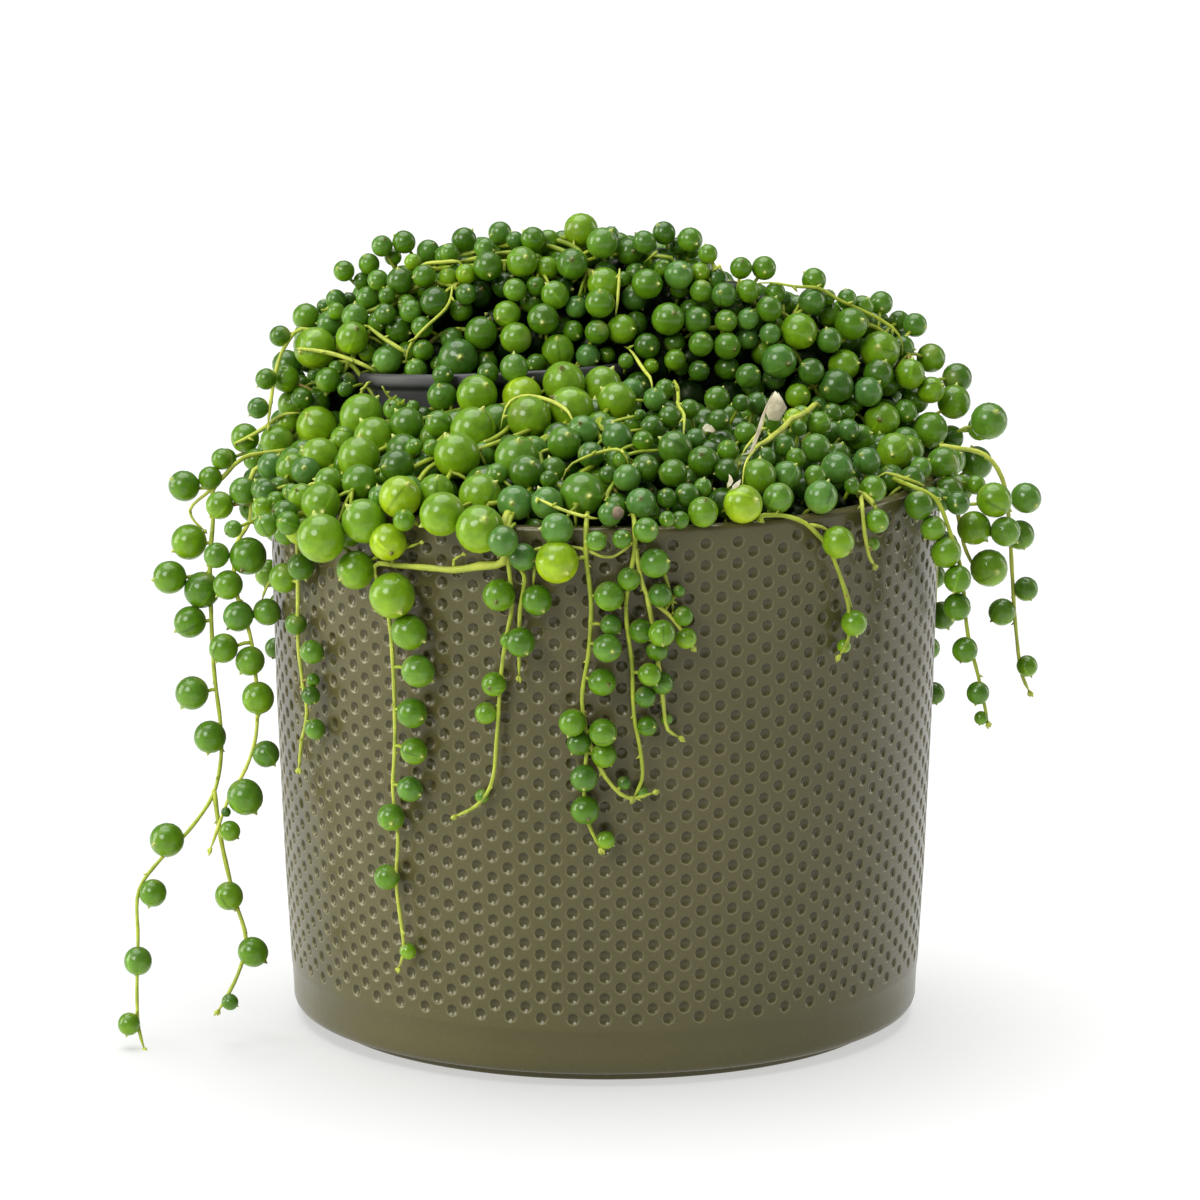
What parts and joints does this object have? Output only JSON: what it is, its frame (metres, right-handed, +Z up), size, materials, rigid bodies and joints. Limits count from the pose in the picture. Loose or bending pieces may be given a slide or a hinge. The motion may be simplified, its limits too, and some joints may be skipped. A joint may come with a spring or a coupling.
{
  "type": "potted string of pearls",
  "caption": "Trailing succulent with round bead leaves in a small grower's pot, set in a dimpled round outer pot, its strings hanging over the rim.",
  "frame": {"origin": "on the outer pot's axis, on the surface it stands on", "axes": "+Z up along the pot's axis, -Y towards the side shown in the picture, +X to its right"},
  "size_m": [0.2152, 0.1821, 0.1862],
  "materials": {
    "pot_glaze": "matte grey-olive glaze over pressed dimples",
    "nursery_plastic": "dark grey thin plastic",
    "soil": "dark crumbly potting mix",
    "plant": "smooth waxy green bead leaves on pale stems"
  },
  "bodies": {
    "root": {"cachepot": "pot_glaze", "nursery_pot": "nursery_plastic", "soil_outer": "soil", "soil_nursery": "soil", "bunch_left": "plant", "bunch_front_left": "plant", "bunch_front_right": "plant", "bunch_right": "plant", "bunch_back": "plant", "crown": "plant", "string_left_outer": "plant", "string_left_inner": "plant", "string_left_arch": "plant", "string_front_left": "plant", "string_front_runner": "plant", "string_front_centre": "plant", "string_front_right": "plant", "string_right_cluster": "plant", "string_right_arch": "plant", "string_right_short": "plant", "string_right_inner": "plant", "string_right_middle": "plant", "string_right_outer": "plant", "string_back_1": "plant", "string_back_2": "plant", "string_back_3": "plant", "string_back_4": "plant", "string_back_5": "plant", "string_back_6": "plant", "string_back_7": "plant", "string_back_8": "plant", "string_back_9": "plant"}
  },
  "joints": []
}
